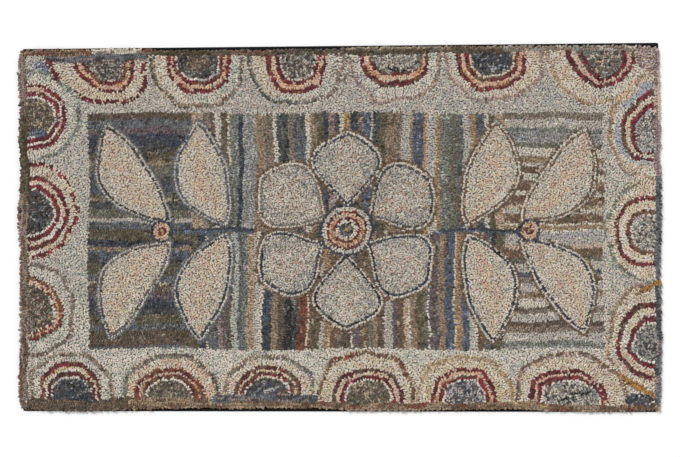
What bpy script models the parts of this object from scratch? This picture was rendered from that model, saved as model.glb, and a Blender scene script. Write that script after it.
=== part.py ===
"""A hooked wool rug, sewn flat onto a thin black backing cloth that shows as a narrow margin.

Metres, +Z up. The origin is at the middle of the underside, and the rug lies in the X-Y plane:
its long edges run along X, and its loops point up.
"""

import math
from collections import namedtuple

import bmesh
import bpy
from mathutils import Vector

# Driving sizes. The rug is about 45 inches long, over its outermost loops.
HALF_LENGTH = 0.5715
HALF_WIDTH = 0.3284
BACKING_THICK = 0.0012
SEWN_GAP = 0.0003
PILE_THICK = 0.0088

# The rim is rounded, because the outer row of loops leans over the edge.
RIM_RADIUS = 0.0034
RIM_STEPS = 4
CORNER_TRIM = 0.0014
CORNER_REACH = 0.014

# Cell size of the rug's surface, and how far that surface swells and dips.
CELL = 0.0165
SWELL = 0.0007
Wave = namedtuple("Wave", "along_x along_y phase")
LONG_WAVES = [Wave(9.1, 2.3, 0.7), Wave(4.2, -11.7, 2.1)]
LONG_WAVE_SHARE = 0.36
SHORT_WAVES = [Wave(23.0, 17.0, 0.0), Wave(-12.0, 31.0, 1.3)]
SHORT_WAVE_SHARE = 0.28

# A face counts as level when its normal's upright part is larger than this.
LEVEL_NORMAL = 0.5
SHARP_ANGLE = math.radians(40)
MM = 0.001

WOOL_COLOUR = (0.36, 0.33, 0.29)
COTTON_COLOUR = (0.012, 0.012, 0.014)

# Inset of the loops' edge from the outer rectangle, at shares of the way along each side.
EdgePoint = namedtuple("EdgePoint", "share inset_mm")

TOP_EDGE = [
    EdgePoint(0.00, 13.6),
    EdgePoint(0.10, 13.0),
    EdgePoint(0.16, 11.0),
    EdgePoint(0.23, 14.8),
    EdgePoint(0.40, 14.2),
    EdgePoint(0.43, 11.6),
    EdgePoint(0.47, 12.8),
    EdgePoint(0.54, 8.8),
    EdgePoint(0.66, 7.4),
    EdgePoint(0.80, 6.4),
    EdgePoint(0.92, 5.8),
    EdgePoint(1.00, 7.6),
]
BOTTOM_EDGE = [
    EdgePoint(0.00, 6.0),
    EdgePoint(0.04, 4.2),
    EdgePoint(0.10, 1.6),
    EdgePoint(0.17, 4.8),
    EdgePoint(0.24, 7.4),
    EdgePoint(0.36, 7.8),
    EdgePoint(0.45, 8.2),
    EdgePoint(0.53, 3.0),
    EdgePoint(0.60, 2.8),
    EdgePoint(0.66, 4.6),
    EdgePoint(0.77, 6.2),
    EdgePoint(0.83, 2.6),
    EdgePoint(0.91, 1.2),
    EdgePoint(1.00, 3.6),
]
LEFT_EDGE = [
    EdgePoint(0.00, 2.6),
    EdgePoint(0.06, 1.2),
    EdgePoint(0.18, 3.4),
    EdgePoint(0.42, 3.8),
    EdgePoint(0.51, 0.0),
    EdgePoint(0.57, 1.6),
    EdgePoint(0.66, 3.9),
    EdgePoint(0.76, 1.2),
    EdgePoint(0.84, 2.8),
    EdgePoint(0.93, 0.2),
    EdgePoint(1.00, 2.0),
]
RIGHT_EDGE = [
    EdgePoint(0.00, 2.4),
    EdgePoint(0.05, 1.0),
    EdgePoint(0.10, 2.5),
    EdgePoint(0.19, 0.0),
    EdgePoint(0.30, 2.2),
    EdgePoint(0.44, 2.4),
    EdgePoint(0.50, 0.8),
    EdgePoint(0.63, 1.0),
    EdgePoint(0.70, 4.6),
    EdgePoint(0.78, 3.4),
    EdgePoint(0.90, 4.8),
    EdgePoint(1.00, 5.0),
]

# Corners of the backing cloth, as insets from the outer rectangle.
BackingCorner = namedtuple("BackingCorner", "x_side y_side x_inset_mm y_inset_mm")
BACKING_CORNERS = [
    BackingCorner(-1, -1, 8.0, 1.8),
    BackingCorner(1, -1, 7.0, 0.0),
    BackingCorner(1, 1, 5.5, 0.0),
    BackingCorner(-1, 1, 7.0, 11.2),
]
BACKING_CORNER_RADIUS = 0.003
BACKING_CORNER_STEPS = 4


def clear_scene():
    """Remove whatever objects the file opened with."""
    for old in list(bpy.data.objects):
        bpy.data.objects.remove(old, do_unlink=True)


def make_material(name, colour, roughness):
    """A plain woollen or cotton finish."""
    material = bpy.data.materials.new(name)
    material.use_nodes = True
    shader = material.node_tree.nodes["Principled BSDF"]
    shader.inputs["Base Color"].default_value = (*colour, 1.0)
    shader.inputs["Roughness"].default_value = roughness
    shader.inputs["Metallic"].default_value = 0.0
    material.diffuse_color = (*colour, 1.0)
    return material


def add_object(name, form, material):
    """Turn a finished bmesh into a named object, shaded smooth except at sharp edges."""
    bmesh.ops.recalc_face_normals(form, faces=form.faces)
    mesh = bpy.data.meshes.new(name)
    form.to_mesh(mesh)
    form.free()
    mesh.materials.append(material)
    mesh.shade_smooth()
    mesh.set_sharp_from_angle(angle=SHARP_ANGLE)
    made = bpy.data.objects.new(name, mesh)
    bpy.context.scene.collection.objects.link(made)
    return made


def ease(t):
    """Smooth step from 0 to 1."""
    return t * t * (3 - 2 * t)


def corner_trim(distance):
    """Extra inset that rounds a corner, at a distance along the side from its end."""
    left = max(0.0, 1.0 - distance / CORNER_REACH)
    return CORNER_TRIM * left * left


def inset(points, share, side_length):
    """How far the loops' edge lies inside the outer rectangle, in metres."""
    found = points[-1].inset_mm
    for near, far in zip(points, points[1:]):
        if near.share <= share <= far.share:
            t = ease((share - near.share) / (far.share - near.share))
            found = near.inset_mm + t * (far.inset_mm - near.inset_mm)
            break
    from_end = min(share, 1.0 - share) * side_length
    return found * MM + corner_trim(from_end)


def place_on_rug(across, up):
    """The point of the rug at shares of its length and width, inside its uneven outline."""
    low_x = -HALF_LENGTH + inset(LEFT_EDGE, up, 2 * HALF_WIDTH)
    high_x = HALF_LENGTH - inset(RIGHT_EDGE, up, 2 * HALF_WIDTH)
    low_y = -HALF_WIDTH + inset(BOTTOM_EDGE, across, 2 * HALF_LENGTH)
    high_y = HALF_WIDTH - inset(TOP_EDGE, across, 2 * HALF_LENGTH)
    return low_x + across * (high_x - low_x), low_y + up * (high_y - low_y)


def wave_height(wave, x, y):
    """The height of one wave at a point of the rug, between -1 and 1."""
    return math.sin(wave.along_x * x + wave.along_y * y + wave.phase)


def surface_swell(x, y):
    """The soft hollows and rises of an old hand-hooked pile, between -1 and 1."""
    long_part = sum(wave_height(wave, x, y) for wave in LONG_WAVES)
    short_part = math.prod(wave_height(wave, x, y) for wave in SHORT_WAVES)
    return LONG_WAVE_SHARE * long_part + SHORT_WAVE_SHARE * short_part


def build_rug(material):
    """The hooked rug: one flat solid with an uneven outline, a rounded rim and a swelling top."""
    columns = round(2 * HALF_LENGTH / CELL)
    rows = round(2 * HALF_WIDTH / CELL)
    form = bmesh.new()
    bmesh.ops.create_grid(form, x_segments=columns, y_segments=rows, size=0.5)
    for vertex in form.verts:
        x, y = place_on_rug(vertex.co.x + 0.5, vertex.co.y + 0.5)
        vertex.co = Vector((x, y, 0.0))

    lower = list(form.faces)
    raised = bmesh.ops.extrude_face_region(form, geom=lower, use_keep_orig=True)
    upper = [item for item in raised["geom"] if isinstance(item, bmesh.types.BMVert)]
    bmesh.ops.translate(form, verts=upper, vec=(0, 0, PILE_THICK))

    bottom_edges = {edge for face in lower for edge in face.edges}
    inner_bottom = [
        edge for edge in bottom_edges
        if all(abs(face.normal.z) > LEVEL_NORMAL for face in edge.link_faces)
    ]
    bmesh.ops.dissolve_edges(form, edges=inner_bottom, use_verts=False)

    top_rim = [
        edge for edge in form.edges
        if edge.verts[0].co.z > PILE_THICK / 2 and edge.verts[1].co.z > PILE_THICK / 2
        and any(abs(face.normal.z) < LEVEL_NORMAL for face in edge.link_faces)
    ]
    bmesh.ops.bevel(form, geom=top_rim, offset=RIM_RADIUS, segments=RIM_STEPS, profile=0.5,
                    affect="EDGES", clamp_overlap=True)

    base = BACKING_THICK + SEWN_GAP
    for vertex in form.verts:
        height = vertex.co.z / PILE_THICK
        lift = SWELL * ease(height) * surface_swell(vertex.co.x, vertex.co.y)
        vertex.co.z += base + lift
    return add_object("rug", form, material)


def rounded_outline(corners, radius, steps):
    """A closed outline with an arc at each corner, from corners given anticlockwise."""
    outline = []
    for i, corner in enumerate(corners):
        before = (corners[i - 1] - corner).normalized()
        after = (corners[(i + 1) % len(corners)] - corner).normalized()
        centre = corner + radius * (before + after)
        start = math.atan2(-after.y, -after.x)
        for step in range(steps + 1):
            angle = start + 0.5 * math.pi * step / steps
            outline.append(centre + radius * Vector((math.cos(angle), math.sin(angle))))
    return outline


def build_backing(material):
    """The black backing cloth, cut straight, a little wider than the rug at top and bottom."""
    corners = [
        Vector((
            corner.x_side * (HALF_LENGTH - corner.x_inset_mm * MM),
            corner.y_side * (HALF_WIDTH - corner.y_inset_mm * MM),
        ))
        for corner in BACKING_CORNERS
    ]
    form = bmesh.new()
    outline = rounded_outline(corners, BACKING_CORNER_RADIUS, BACKING_CORNER_STEPS)
    face = form.faces.new([form.verts.new((point.x, point.y, 0.0)) for point in outline])
    raised = bmesh.ops.extrude_face_region(form, geom=[face], use_keep_orig=True)
    upper = [item for item in raised["geom"] if isinstance(item, bmesh.types.BMVert)]
    bmesh.ops.translate(form, verts=upper, vec=(0, 0, BACKING_THICK))
    return add_object("backing_cloth", form, material)


def main():
    clear_scene()
    wool = make_material("wool_pile", WOOL_COLOUR, 0.95)
    cotton = make_material("black_cotton", COTTON_COLOUR, 0.9)
    build_rug(wool)
    build_backing(cotton)


main()
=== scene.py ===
# %% [markdown]
# # A hooked rug, loop by loop
#
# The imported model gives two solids: the rug, a flat slab with an uneven edge, and the thin
# black cloth that it is sewn onto. This scene dresses them the way the real thing is made.
# Wool strips are pulled up through a ground cloth, one loop after another, in rows that
# follow the pattern. So the pattern here is a plan of rows, and each row is hooked with
# separate loops of wool, nearly sixty thousand in all.
#
# The steps are: read the frame, name the yarns, plan the rows, hook them, shape each loop,
# and then add the ground cloth, the backing, the light and the camera.

# %% Load the frame
import math
from collections import namedtuple

import bpy
import numpy as np
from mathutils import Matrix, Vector
from mathutils.bvhtree import BVHTree
from mathutils.kdtree import KDTree


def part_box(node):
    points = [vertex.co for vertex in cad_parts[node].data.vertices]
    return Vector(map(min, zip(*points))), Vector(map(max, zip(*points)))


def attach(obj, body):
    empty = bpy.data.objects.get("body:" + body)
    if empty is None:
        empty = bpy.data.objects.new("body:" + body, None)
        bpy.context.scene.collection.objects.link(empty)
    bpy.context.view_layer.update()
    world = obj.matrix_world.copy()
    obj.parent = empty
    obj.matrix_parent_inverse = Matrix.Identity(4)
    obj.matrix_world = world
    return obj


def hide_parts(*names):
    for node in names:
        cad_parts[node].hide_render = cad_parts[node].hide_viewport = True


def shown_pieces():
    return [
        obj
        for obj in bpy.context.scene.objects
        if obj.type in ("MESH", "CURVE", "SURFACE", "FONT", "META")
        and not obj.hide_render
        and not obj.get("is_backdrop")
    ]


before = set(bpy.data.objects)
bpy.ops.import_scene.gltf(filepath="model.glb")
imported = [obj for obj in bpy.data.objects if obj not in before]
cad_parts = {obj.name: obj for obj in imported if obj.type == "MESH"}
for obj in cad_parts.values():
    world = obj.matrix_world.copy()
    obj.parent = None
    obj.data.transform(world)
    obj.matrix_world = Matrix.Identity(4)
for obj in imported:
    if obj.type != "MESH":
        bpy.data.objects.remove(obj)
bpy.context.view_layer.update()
rug_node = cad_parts["rug"]
backing_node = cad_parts["backing_cloth"]
rug_low, rug_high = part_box("rug")
print("rug solid", [round(side, 4) for side in rug_high - rug_low])

# %% [markdown]
# ## Sizes
#
# The plan is drawn in millimetres from the middle of the rug, as seen from above, and turned
# into metres only when a mesh is made. A hooked row is about four millimetres wide, and the
# loops along it stand a little closer than that. The field numbers are the edges of the
# striped middle. The random numbers are seeded, so the rug comes out the same each time.

# %% Sizes of the hooking
MM = 0.001
ROW = 3.9
PITCH = 3.15
LOOP_CLEARANCE = 2.85
MAP_CELL = 0.5
GROUND_TOP = 6.8
LOOP_FOOT = 3.6
SEED = 1887
random = np.random.default_rng(SEED)

FIELD_LEFT = -446.0
FIELD_RIGHT = 468.0
FIELD_TOP = 203.0
FIELD_BOTTOM = -216.0

# %% [markdown]
# ## The edge of the rug
#
# The slab's lowest points are its outline. Each long side gives a height for every x, and
# each short side a place for every y, so the distance from the edge is the least of four. A
# point belongs to a side when it lies within a band of the outermost point there.

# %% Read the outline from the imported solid
Outline = namedtuple("Outline", "top bottom left right")
LEVEL_BAND = 0.2
END_BAND = 12.0
SIDE_BAND = 24.0
LEVEL_SIDES = ("top", "bottom")
FAR_SIDES = ("top", "right")


def corner_points(node):
    """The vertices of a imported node, in millimetres."""
    points = np.empty(len(node.data.vertices) * 3)
    node.data.vertices.foreach_get("co", points)
    return points.reshape(-1, 3) / MM


def read_outline(node):
    """The four sides of the rug, each as a sorted table of places along it and across it."""
    points = corner_points(node)
    lowest = points[points[:, 2] < points[:, 2].min() + LEVEL_BAND][:, :2]
    lowest = np.unique(lowest.round(2), axis=0)
    reach_x = np.abs(lowest[:, 0]).max()
    reach_y = np.abs(lowest[:, 1]).max()
    is_end = np.abs(lowest[:, 0]) > reach_x - END_BAND
    is_side = np.abs(lowest[:, 1]) > reach_y - SIDE_BAND
    sides = {}
    for name, chosen, along, across in (
        ("top", is_side & (lowest[:, 1] > 0), 0, 1),
        ("bottom", is_side & (lowest[:, 1] < 0), 0, 1),
        ("left", is_end & (lowest[:, 0] < 0), 1, 0),
        ("right", is_end & (lowest[:, 0] > 0), 1, 0),
    ):
        table = lowest[chosen]
        table = table[np.argsort(table[:, along])]
        sides[name] = (table[:, along], table[:, across])
    return Outline(**sides)


def side_at(side, along):
    """Where a side of the outline lies, at places along it."""
    return np.interp(along, *getattr(outline, side))


def from_side(side, base, along, depth):
    """Points of the rug, from places along a side and distances in from a base line there."""
    across = base - depth if side in FAR_SIDES else base + depth
    return np.column_stack([along, across] if side in LEVEL_SIDES else [across, along])


def to_side(side, base, x, y):
    """Places along a side and distances in from a base line there, for points of the rug."""
    along, across = (x, y) if side in LEVEL_SIDES else (y, x)
    depth = base - across if side in FAR_SIDES else across - base
    return along, depth


def edge_line(side, along, depth):
    """Points so far inside one edge of the rug, at places along it."""
    return from_side(side, side_at(side, along), along, depth)


def side_gaps(x, y):
    """Distances inward from the top, bottom, left and right edges of the rug, in millimetres."""
    gaps = []
    for side in Outline._fields:
        base = side_at(side, x if side in LEVEL_SIDES else y)
        gaps.append(to_side(side, base, x, y)[1])
    return np.stack(gaps)


def edge_gap(x, y):
    """Distance inward from the nearest edge of the rug."""
    return side_gaps(x, y).min(axis=0)


outline = read_outline(rug_node)
print("outline points", [len(side[0]) for side in outline])

# %% [markdown]
# ## Yarns
#
# The dyes are the colours of single strips of wool. A mix is what the hooker took up for one
# part of the pattern: several dyes with a share each, and the number of loops that one strip
# lasts before the next is picked. Tweedy parts change strip at almost every loop. Lists of
# wools are written as names, each with a number: its share, its rows or its width. A bare
# name counts as one.

# %% Dyes and mixes
DYES = {
    "ivory": "d8cfc0",
    "cream": "d2bfa2",
    "butter": "ccb58c",
    "oatmeal": "cfc5b6",
    "stone": "b9b0a3",
    "pewter": "979490",
    "mint": "b4b6a8",
    "aqua": "adb2ac",
    "lilac": "b1a9aa",
    "blush": "c9ab98",
    "peach": "d8ae90",
    "apricot": "c48a60",
    "sand": "b39c80",
    "orange tan": "a68666",
    "gold": "ab8a5a",
    "ochre": "b27c38",
    "brick": "8b2f38",
    "maroon": "63272b",
    "rust": "824a33",
    "cocoa": "7c5e48",
    "umber": "685648",
    "tan": "9d846b",
    "taupe": "8d7d6e",
    "mauve": "9c837e",
    "plum": "6e5c62",
    "olive": "685e45",
    "bark": "52452f",
    "moss": "757360",
    "sage": "81857a",
    "bottle": "4e554f",
    "charcoal": "4d4b4b",
    "ink": "2a282b",
    "navy": "3b4254",
    "denim": "5b6475",
    "slate": "6c6e73",
    "sky": "a5abb1",
    "cornflower": "7f8aa8",
}

Mix = namedtuple("Mix", "run shares")

MIXES = {
    "ground": Mix(2, "oatmeal 10, stone 5, lilac 2, mint 2, aqua"),
    "cool ground": Mix(2, "mint 4, oatmeal 8, aqua 2, stone 2"),
    "light ground": Mix(2, "oatmeal 7, ivory 8, mint 2, aqua"),
    "warm ground": Mix(2, "oatmeal 4, lilac 3, stone 9, blush"),
    "pale flower": Mix(2, "oatmeal 4, stone 7, pewter 5, mint 2, lilac, sand"),
    "flower blush": Mix(2, "oatmeal 5, stone 3, blush 2, sand, mint"),
    "leaf cream": Mix(2, "oatmeal 6, cream 3, ivory, stone 4"),
    "leaf blush": Mix(2, "peach, blush 4, cream 5, oatmeal 4"),
    "wide cream": Mix(4, "cream 7, ivory 5, blush 2, oatmeal 3"),
    "wide yellow": Mix(4, "butter 3, cream 7, ivory 4"),
    "wide pink": Mix(4, "cream 6, blush 2, ivory 5"),
    "wide peach": Mix(4, "cream 8, ivory 5, peach 3, blush"),
    "wide mint": Mix(4, "mint 4, ivory 4, oatmeal 5"),
    "wide grey": Mix(4, "oatmeal 6, ivory 4, mint 2, lilac"),
    "wide blue": Mix(3, "sky 7, oatmeal 3, lilac 6"),
    "red": Mix(2, "brick 6, maroon 5, rust, blush"),
    "dark red": Mix(2, "maroon 5, brick 4, cocoa, umber"),
    "red brown": Mix(2, "rust 2, maroon 5, brick 3, cocoa 2, umber"),
    "broken umber": Mix(2, "umber 4, maroon 5, cocoa"),
    "broken red": Mix(2, "brick 4, maroon 4, cream 3"),
    "peach row": Mix(4, "peach 7, apricot 2, blush 2, cream 2"),
    "green row": Mix(3, "sage 5, mint 2, moss 2, butter"),
    "yellow row": Mix(5, "butter 4, cream 5, peach"),
    "pink row": Mix(4, "blush 6, cream 3, peach"),
    "white row": Mix(3, "ivory 7, cream 2, lilac"),
    "tweed core": Mix(1.3, "pewter 3, taupe 3, charcoal 3, stone 3, umber 2"),
    "charcoal core": Mix(1.5, "charcoal 6, umber 2, ink 2, slate 2, pewter"),
    "brown core": Mix(1.5, "umber 4, cocoa 3, taupe 2, charcoal 2, tan"),
    "olive core": Mix(1.5, "olive 3, umber 3, taupe 3, sage, charcoal 2, sand 2"),
    "navy core": Mix(1.5, "charcoal 6, navy 4, slate 3, ink, pewter"),
    "slate core": Mix(1.5, "charcoal 6, slate 3, navy 2, pewter, umber 2"),
    "pale core": Mix(1.3, "stone 4, pewter 2, lilac 2, slate 3, navy 3, plum 3"),
    "peach tan": Mix(4, "orange tan 4, sand 2, mauve 3, peach"),
    "pink tan": Mix(4, "mauve 5, tan 3, blush 2"),
    "stone core": Mix(1.3, "pewter 3, stone 5, taupe 3, oatmeal 3, sage, charcoal 2"),
    "green core": Mix(1.3, "sage 3, bottle, taupe 3, stone 2, umber 2, peach"),
    "grey core": Mix(1.3, "pewter 4, charcoal 3, stone 3, slate 2, sage"),
    "brown edge": Mix(4, "cocoa 4, umber, mauve 3, taupe 5, tan"),
    "umber edge": Mix(4, "umber 6, cocoa 5, olive 2, charcoal"),
    "olive edge": Mix(4, "bark 7, olive 5, umber 2"),
    "rust edge": Mix(4, "rust 3, cocoa 6, umber, orange tan 2, tan"),
    "pale edge": Mix(4, "oatmeal 4, stone 3, taupe 2"),
    "tan edge": Mix(4, "tan 5, taupe 3, sand 2, cocoa"),
    "tan brown edge": Mix(4, "tan 4, cocoa 4, orange tan 2, rust"),
    "taupe edge": Mix(4, "taupe 4, stone 3, tan 2, pewter"),
    "mauve edge": Mix(4, "mauve 8, taupe, blush 2, lilac"),
    "slate edge": Mix(4, "slate 5, charcoal 4, mauve 2"),
    "slate pink edge": Mix(3, "slate 2, umber 3, mauve 3, taupe, cocoa 2"),
    "gold edge": Mix(3, "gold 5, tan 3, cocoa"),
    "grey brown edge": Mix(3, "tan 4, umber 2, cocoa 4, rust 2, orange tan"),
}

# %% [markdown]
# ## Taking up a yarn
#
# A yarn is a mix or a single dye. No bundle of old wool is quite one colour, so with a single
# dye about a quarter of the loops stray to the dyes that are most like it. A row takes its
# dyes strip after strip, and a filled area takes them from a map of small patches.

# %% Take up a yarn
FADE = 0.15
EYE_CURVE = 0.45
TINT_WEIGHT = 2.5
STRAYS = 4
STRAY_SHARE = 0.27
STRAY_RUN = 2
PATCH = 4.0
PATCH_SHARE = 0.72
PATCH_WAVER = 2.0
PATCH_WAVE = 5.0
PATCHES = random.random((97, 97))
DYE_NAMES = list(DYES)


def counts_in(text):
    """The names and numbers in a text such as "cream 7, ivory". A bare name counts as one."""
    pairs = []
    for item in text.split(", "):
        name, _, number = item.rpartition(" ")
        pairs.append((name, int(number)) if number.isdigit() else (item, 1))
    return pairs


def rows_of(text):
    """A list of yarns, each as often as the number after its name says."""
    return [name for name, number in counts_in(text) for _ in range(number)]


def linear(hex_colour):
    """The linear red, green and blue of a six-figure colour code, faded as old wool is."""
    parts = np.array([int(hex_colour[i:i + 2], 16) / 255 for i in (0, 2, 4)])
    parts = parts + FADE * (parts.mean() - parts)
    return np.where(parts <= 0.04045, parts / 12.92, ((parts + 0.055) / 1.055) ** 2.4)


def likeness(colour):
    """A colour as its strength and two tints, to tell how alike two dyes are."""
    red, green, blue = colour ** EYE_CURVE
    middle = (red + green + blue) / 3
    return middle, TINT_WEIGHT * (red - blue), TINT_WEIGHT * (green - middle)


DYE_COLOURS = np.array([linear(code) for code in DYES.values()])
DYE_LIKENESS = np.array([likeness(colour) for colour in DYE_COLOURS])


def shares_of(yarn):
    """A yarn's dyes as numbers, the share of each, and how many loops one strip lasts."""
    if yarn in MIXES:
        mix = MIXES[yarn]
        names, counts = zip(*counts_in(mix.shares))
        numbers = np.array([DYE_NAMES.index(name) for name in names])
        shares = np.array(counts, float)
        return numbers, shares / shares.sum(), mix.run
    distance = np.abs(DYE_LIKENESS - DYE_LIKENESS[DYE_NAMES.index(yarn)]).sum(axis=1)
    numbers = np.argsort(distance)[:STRAYS + 1]
    shares = np.array([1 - STRAY_SHARE] + [STRAY_SHARE / STRAYS] * STRAYS)
    return numbers, shares, STRAY_RUN


def pick_dyes(yarn, count):
    """The dye of each loop of a row, strip after strip."""
    numbers, shares, run = shares_of(yarn)
    fresh = numbers[random.choice(len(numbers), size=count, p=shares)]
    keeps = random.random(count) > 1 / run
    for i in range(1, count):
        if keeps[i]:
            fresh[i] = fresh[i - 1]
    return fresh


def patch_at(place, other, size):
    """The line or column of the patch map for places along one way of the rug."""
    waver = PATCH_WAVER * np.sin(other / PATCH_WAVE)
    return np.floor((place + waver) / size).astype(int) % len(PATCHES)


def patch_dyes(yarn, x, y):
    """The dye at each place of a filled area, in patches as large as one strip covers."""
    numbers, shares, run = shares_of(yarn)
    size = PATCH * math.sqrt(run)
    patch_draw = PATCHES[patch_at(y, x, size), patch_at(x, y, size)]
    in_patch = random.random(len(x)) < PATCH_SHARE
    draw = np.where(in_patch, patch_draw, random.random(len(x)))
    picked = np.searchsorted(np.cumsum(shares), draw)
    return numbers[np.minimum(picked, len(numbers) - 1)]


def change_dyes(yarn, share, x, y):
    """The dye at each place, for one yarn, or for a change from one yarn to another."""
    if isinstance(yarn, str):
        return patch_dyes(yarn, x, y)
    first, last = (patch_dyes(name, x, y) for name in yarn)
    return np.where(random.random(len(x)) < share, last, first)


print("dyes", len(DYES), "mixes", len(MIXES))

# %% [markdown]
# ## Hooking
#
# The pile keeps a map of the ground cloth. Each loop takes up a small disc of it, and a loop
# whose middle falls on a taken cell is left out. So rows that run into each other simply
# meet, and the row that was hooked first wins, as with a real hook. A row may change from
# one yarn to another on its way, and every row wanders a little, as hand work does.

# %% The pile and its rows
Loop = namedtuple("Loop", "x y turn dye part lean size")

SHEET_REACH = 700.0
WHOLE = ((-575.0, -332.0), (575.0, 332.0))
RIM_INSET = 2.6
SLANT = math.radians(75)
RAGGED = 0.5
CAREFUL = 0.2
BLEND_RATE, BLEND_START = 1.6, 0.3
ROW_MARGIN = 1.6
GAP_MARGIN = 1.8
Wave = namedtuple("Wave", "size x_length y_length phase")
WANDER_X = [Wave(1.6, 83, 31, 0.0), Wave(1.1, -47, 12.7, 1.1)]
WANDER_Y = [Wave(1.6, 37, -71, 0.6), Wave(1.1, 14.3, 53, 2.3)]
disc_steps = int(LOOP_CLEARANCE / MAP_CELL)
disc_y, disc_x = np.mgrid[-disc_steps:disc_steps + 1, -disc_steps:disc_steps + 1]
DISC = disc_x ** 2 + disc_y ** 2 <= (LOOP_CLEARANCE / MAP_CELL) ** 2


def cell_at(place):
    """The number of the map cell that a place along x or y falls on."""
    return int((place + SHEET_REACH) / MAP_CELL)


class Pile:
    """All loops hooked so far, and the map of the ground cloth that they take up."""

    def __init__(self):
        cells = cell_at(SHEET_REACH)
        self.taken = np.zeros((cells, cells), bool)
        self.loops = []

    def hook(self, x, y, turn, dye, part, lean=0.0, size=1.0):
        """Hook one loop, unless another stands too near."""
        line, column, reach = cell_at(y), cell_at(x), disc_steps
        if self.taken[line, column]:
            return
        area = self.taken[line - reach:line + reach + 1, column - reach:column + reach + 1]
        area |= DISC
        self.loops.append(Loop(x, y, turn, dye, part, lean, size))

    def free_places(self, low, high):
        """The middle of each free cell of the map within a box, in a random order."""
        left, bottom = cell_at(low[0]), cell_at(low[1])
        right, top = cell_at(high[0]), cell_at(high[1])
        lines, columns = np.nonzero(~self.taken[bottom:top, left:right])
        order = random.permutation(len(lines))
        x = (columns[order] + left + 0.5) * MAP_CELL - SHEET_REACH
        y = (lines[order] + bottom + 0.5) * MAP_CELL - SHEET_REACH
        return x, y


def sway(waves, x, y):
    """The sum of some waves at points of the rug. An endless length leaves out x or y."""
    return sum(wave.size * np.sin(x / wave.x_length + y / wave.y_length + wave.phase) for wave in waves)


def wander(points):
    """Shift points by the slow drift of hand work, less than three millimetres each way."""
    x, y = points[:, 0], points[:, 1]
    return np.column_stack([x + sway(WANDER_X, x, y), y + sway(WANDER_Y, x, y)])


def hook_row(line, yarn, part, inside=None, straying=True, lean=0.0, size=1.0, ragged=RAGGED):
    """Hook loops along a line of points, in one yarn or changing from one yarn to another."""
    line = wander(line) if straying else line
    steps = np.hypot(*np.diff(line, axis=0).T)
    along = np.concatenate([[0], np.cumsum(steps)])
    places = np.arange(random.uniform(0, PITCH), along[-1], PITCH * size)
    if not len(places):
        return

    def line_at(distance):
        return np.array([np.interp(distance, along, column) for column in line.T])

    x, y = line_at(places)
    ahead_x, ahead_y = line_at(places + 1) - line_at(places - 1)
    turn = np.arctan2(ahead_y, ahead_x)
    if straying:
        x = x + random.normal(0, ragged, len(x))
        y = y + random.normal(0, ragged, len(y))
    if isinstance(yarn, tuple):
        first, last = (pick_dyes(name, len(x)) for name in yarn)
        progress = np.clip(places / along[-1] * BLEND_RATE - BLEND_START, 0, 1)
        dyes = np.where(random.random(len(x)) < progress, last, first)
    else:
        dyes = pick_dyes(yarn, len(x))
    keep = edge_gap(x, y) > ROW_MARGIN
    if inside is not None:
        keep &= inside(x, y)
    for i in np.flatnonzero(keep):
        pile.hook(x[i], y[i], turn[i], dyes[i], part, lean, size)


def fill_area(low, high, inside, dyes_at, turns_at, part):
    """Hook loops in a random order wherever a box is free and a rule says it is inside."""
    x, y = pile.free_places(low, high)
    keep = inside(x, y) & (edge_gap(x, y) > RIM_INSET)
    x, y = x[keep], y[keep]
    dyes, turns = dyes_at(x, y), turns_at(x, y)
    for i in range(len(x)):
        pile.hook(x[i], y[i], turns[i], dyes[i], part)


def any_turn(x, y):
    """A random turn for each place."""
    return random.uniform(0, math.pi, len(x))


def tree_of(loops):
    """A search tree of the loops' places."""
    tree = KDTree(len(loops))
    for number, loop in enumerate(loops):
        tree.insert((loop.x, loop.y, 0.0), number)
    tree.balance()
    return tree


def fill_gaps(depth):
    """Hook a loop in each gap left within a depth of the edge, in the wool of the loop next to it."""
    placed = list(pile.loops)
    tree = tree_of(placed)
    x, y = pile.free_places(*WHOLE)
    gap = edge_gap(x, y)
    for i in np.flatnonzero((gap > GAP_MARGIN) & (gap < depth)):
        if not pile.taken[cell_at(y[i]), cell_at(x[i])]:
            near = placed[tree.find((x[i], y[i], 0.0))[1]]
            pile.hook(x[i], y[i], near.turn, near.dye, near.part)


pile = Pile()

# %% [markdown]
# ## Binding
#
# Two to six rows follow the edge all round. The outermost row leans over it. Their colours
# change along each side wherever the hooker ran out of one wool, so each strand has a first
# row, counted from the edge, a number of rows, a start, an end and a yarn. Gaps in the two
# outer rows are filled at once, so that no wool of the pattern shows among them.

# %% Hook the binding rows
Strand = namedtuple("Strand", "first_row rows start end yarn")
RIM_LEAN = 1.0
BINDING_SIZE = 1.08
BINDING_ROWS = 6
RIM_DEPTH = RIM_INSET + 1.5 * ROW
SIDE_STEP = 2.0

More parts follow.
